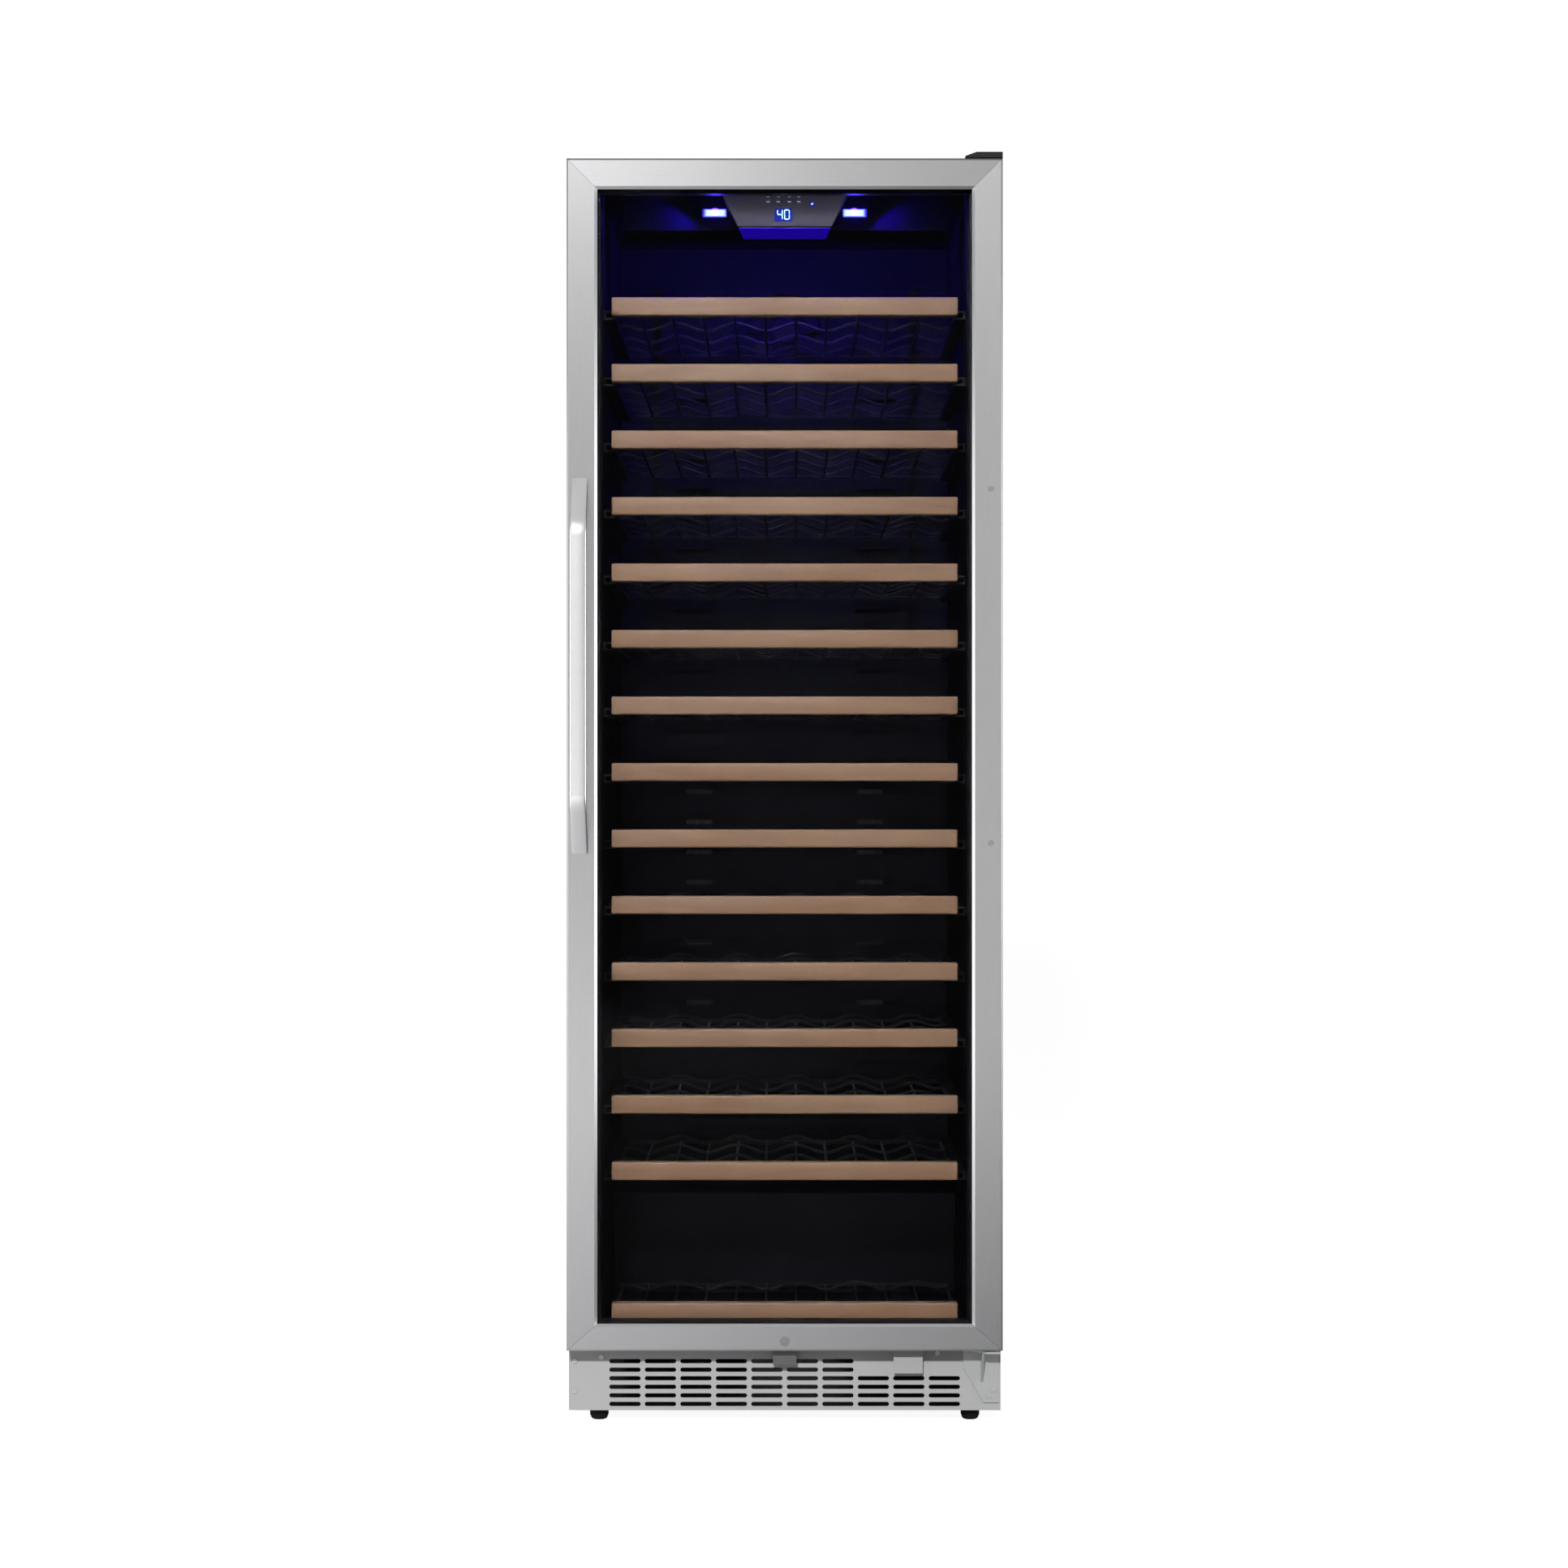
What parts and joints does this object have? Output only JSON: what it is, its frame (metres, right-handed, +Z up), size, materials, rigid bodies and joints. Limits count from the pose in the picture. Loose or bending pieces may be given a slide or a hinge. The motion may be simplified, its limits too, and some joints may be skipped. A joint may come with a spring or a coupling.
{
  "type": "wine cooler",
  "caption": "Tall free-standing wine cooler with a steel-framed glass door, bow handle, pull-out wooden-fronted wire shelves and a slotted kick plate.",
  "frame": {"origin": "on the floor, under the middle of the whole object's box", "axes": "+X to the right seen from the front, +Y from the door to the back, +Z up"},
  "size_m": [0.595, 0.68, 1.742],
  "materials": {
    "black_paint": "satin",
    "black_liner": "matte",
    "foam": "matte",
    "galvanised": "satin",
    "brushed_steel": "satin",
    "black_plastic": "satin",
    "zinc_plate": "satin",
    "panel_gloss": "gloss",
    "lamp_lens": "gloss",
    "coil_aluminium": "satin",
    "compressor_black": "satin",
    "beech_and_wire": "satin",
    "lock_steel": "polished",
    "tinted_glass": "gloss",
    "clear_glass": "gloss",
    "black_spacer": "matte",
    "gasket_rubber": "matte",
    "handle_steel": "satin",
    "grey_plastic": "satin",
    "foot_plastic": "satin"
  },
  "bodies": {
    "cabinet": {"outer_shell": "black_paint", "back_panel": "black_paint", "inner_liner": "black_liner", "foam_insulation": "foam", "base_frame": "galvanised", "kick_plate": "brushed_steel", "rear_grille": "black_paint", "mains_inlet": "black_plastic", "top_hinge_bracket": "black_paint", "bottom_hinge_bracket": "zinc_plate", "top_hinge_cover": "black_plastic", "lock_keeper": "black_paint", "cabinet_screws": "zinc_plate", "control_housing": "black_liner", "control_panel": "panel_gloss", "light_lenses": "lamp_lens", "air_duct_panel": "black_liner", "evaporator_coil": "coil_aluminium", "compressor": "compressor_black", "condenser_coil": "black_paint", "shelf_rails": "black_plastic", "floor_rack": "beech_and_wire"},
    "door": {"door_top_rail": "brushed_steel", "door_bottom_rail": "brushed_steel", "door_hinge_stile": "brushed_steel", "door_handle_stile": "brushed_steel", "outer_glass": "tinted_glass", "inner_glass": "clear_glass", "glass_spacer": "black_spacer", "door_inner_frame": "black_plastic", "door_gasket": "gasket_rubber", "door_handle": "handle_steel", "lock_cylinder": "lock_steel", "door_stop_tab": "grey_plastic", "door_screws": "lock_steel"},
    "lock_turn": {"lock_core": "lock_steel"},
    "shelf_01_body": {"shelf_01": "beech_and_wire"},
    "shelf_02_body": {"shelf_02": "beech_and_wire"},
    "shelf_03_body": {"shelf_03": "beech_and_wire"},
    "shelf_04_body": {"shelf_04": "beech_and_wire"},
    "shelf_05_body": {"shelf_05": "beech_and_wire"},
    "shelf_06_body": {"shelf_06": "beech_and_wire"},
    "shelf_07_body": {"shelf_07": "beech_and_wire"},
    "shelf_08_body": {"shelf_08": "beech_and_wire"},
    "shelf_09_body": {"shelf_09": "beech_and_wire"},
    "shelf_10_body": {"shelf_10": "beech_and_wire"},
    "shelf_11_body": {"shelf_11": "beech_and_wire"},
    "shelf_12_body": {"shelf_12": "beech_and_wire"},
    "shelf_13_body": {"shelf_13": "beech_and_wire"},
    "shelf_14_body": {"shelf_14": "beech_and_wire"},
    "power_button_body": {"power_button": "panel_gloss"},
    "light_button_body": {"light_button": "panel_gloss"},
    "up_button_body": {"up_button": "panel_gloss"},
    "down_button_body": {"down_button": "panel_gloss"},
    "front_foot_left_body": {"front_foot_left": "foot_plastic"},
    "front_foot_right_body": {"front_foot_right": "foot_plastic"},
    "rear_foot_left_body": {"rear_foot_left": "foot_plastic"},
    "rear_foot_right_body": {"rear_foot_right": "foot_plastic"},
    "circulation_fan_rotor": {"circulation_fan": "black_plastic"},
    "condenser_fan_rotor": {"condenser_fan": "black_plastic"}
  },
  "joints": [
    {"name": "door_hinge", "type": "hinge", "parent": "cabinet", "child": "door", "pos_m": [0.287, -0.272, 0.9], "axis": [0, 0, 1], "range_deg": [0, 120]},
    {"name": "lock_turn_hinge", "type": "hinge", "parent": "door", "child": "lock_turn", "pos_m": [0, -0.26, 0.1204], "axis": [0, 1, 0], "range_deg": [0, 90]},
    {"name": "shelf_01_slide", "type": "slide", "parent": "cabinet", "child": "shelf_01_body", "axis": [0, -1, 0], "range_m": [0, 0.1601]},
    {"name": "shelf_02_slide", "type": "slide", "parent": "cabinet", "child": "shelf_02_body", "axis": [0, -1, 0], "range_m": [0, 0.1601]},
    {"name": "shelf_03_slide", "type": "slide", "parent": "cabinet", "child": "shelf_03_body", "axis": [0, -1, 0], "range_m": [0, 0.1601]},
    {"name": "shelf_04_slide", "type": "slide", "parent": "cabinet", "child": "shelf_04_body", "axis": [0, -1, 0], "range_m": [0, 0.1601]},
    {"name": "shelf_05_slide", "type": "slide", "parent": "cabinet", "child": "shelf_05_body", "axis": [0, -1, 0], "range_m": [0, 0.1601]},
    {"name": "shelf_06_slide", "type": "slide", "parent": "cabinet", "child": "shelf_06_body", "axis": [0, -1, 0], "range_m": [0, 0.1601]},
    {"name": "shelf_07_slide", "type": "slide", "parent": "cabinet", "child": "shelf_07_body", "axis": [0, -1, 0], "range_m": [0, 0.1601]},
    {"name": "shelf_08_slide", "type": "slide", "parent": "cabinet", "child": "shelf_08_body", "axis": [0, -1, 0], "range_m": [0, 0.1601]},
    {"name": "shelf_09_slide", "type": "slide", "parent": "cabinet", "child": "shelf_09_body", "axis": [0, -1, 0], "range_m": [0, 0.1601]},
    {"name": "shelf_10_slide", "type": "slide", "parent": "cabinet", "child": "shelf_10_body", "axis": [0, -1, 0], "range_m": [0, 0.1601]},
    {"name": "shelf_11_slide", "type": "slide", "parent": "cabinet", "child": "shelf_11_body", "axis": [0, -1, 0], "range_m": [0, 0.1601]},
    {"name": "shelf_12_slide", "type": "slide", "parent": "cabinet", "child": "shelf_12_body", "axis": [0, -1, 0], "range_m": [0, 0.1601]},
    {"name": "shelf_13_slide", "type": "slide", "parent": "cabinet", "child": "shelf_13_body", "axis": [0, -1, 0], "range_m": [0, 0.1601]},
    {"name": "shelf_14_slide", "type": "slide", "parent": "cabinet", "child": "shelf_14_body", "axis": [0, -1, 0], "range_m": [0, 0.1601]},
    {"name": "power_button_press", "type": "slide", "parent": "cabinet", "child": "power_button_body", "axis": [0, 0.9417, 0.3363], "range_m": [0, 0.0006], "stiffness_N_per_m": 300},
    {"name": "light_button_press", "type": "slide", "parent": "cabinet", "child": "light_button_body", "axis": [0, 0.9417, 0.3363], "range_m": [0, 0.0006], "stiffness_N_per_m": 300},
    {"name": "up_button_press", "type": "slide", "parent": "cabinet", "child": "up_button_body", "axis": [0, 0.9417, 0.3363], "range_m": [0, 0.0006], "stiffness_N_per_m": 300},
    {"name": "down_button_press", "type": "slide", "parent": "cabinet", "child": "down_button_body", "axis": [0, 0.9417, 0.3363], "range_m": [0, 0.0006], "stiffness_N_per_m": 300},
    {"name": "front_foot_left_screw", "type": "hinge", "parent": "cabinet", "child": "front_foot_left_body", "pos_m": [-0.257, -0.212, 0], "axis": [0, 0, 1], "continuous": true},
    {"name": "front_foot_right_screw", "type": "hinge", "parent": "cabinet", "child": "front_foot_right_body", "pos_m": [0.257, -0.212, 0], "axis": [0, 0, 1], "continuous": true},
    {"name": "rear_foot_left_screw", "type": "hinge", "parent": "cabinet", "child": "rear_foot_left_body", "pos_m": [-0.257, 0.3, 0], "axis": [0, 0, 1], "continuous": true},
    {"name": "rear_foot_right_screw", "type": "hinge", "parent": "cabinet", "child": "rear_foot_right_body", "pos_m": [0.257, 0.3, 0], "axis": [0, 0, 1], "continuous": true},
    {"name": "circulation_fan_spin", "type": "hinge", "parent": "cabinet", "child": "circulation_fan_rotor", "pos_m": [0, 0.273, 1.575], "axis": [0, 1, 0], "continuous": true},
    {"name": "condenser_fan_spin", "type": "hinge", "parent": "cabinet", "child": "condenser_fan_rotor", "pos_m": [-0.15, 0.213, 0.088], "axis": [0, 1, 0], "continuous": true}
  ],
  "couplings": [
    {"joint": "shelf_01_slide", "follows": "door_hinge", "m_per_rad": 0.07639},
    {"joint": "shelf_02_slide", "follows": "door_hinge", "m_per_rad": 0.07639},
    {"joint": "shelf_03_slide", "follows": "door_hinge", "m_per_rad": 0.07639},
    {"joint": "shelf_04_slide", "follows": "door_hinge", "m_per_rad": 0.07639},
    {"joint": "shelf_05_slide", "follows": "door_hinge", "m_per_rad": 0.07639},
    {"joint": "shelf_06_slide", "follows": "door_hinge", "m_per_rad": 0.07639},
    {"joint": "shelf_07_slide", "follows": "door_hinge", "m_per_rad": 0.07639},
    {"joint": "shelf_08_slide", "follows": "door_hinge", "m_per_rad": 0.07639},
    {"joint": "shelf_09_slide", "follows": "door_hinge", "m_per_rad": 0.07639},
    {"joint": "shelf_10_slide", "follows": "door_hinge", "m_per_rad": 0.07639},
    {"joint": "shelf_11_slide", "follows": "door_hinge", "m_per_rad": 0.07639},
    {"joint": "shelf_12_slide", "follows": "door_hinge", "m_per_rad": 0.07639},
    {"joint": "shelf_13_slide", "follows": "door_hinge", "m_per_rad": 0.07639},
    {"joint": "shelf_14_slide", "follows": "door_hinge", "m_per_rad": 0.07639}
  ]
}
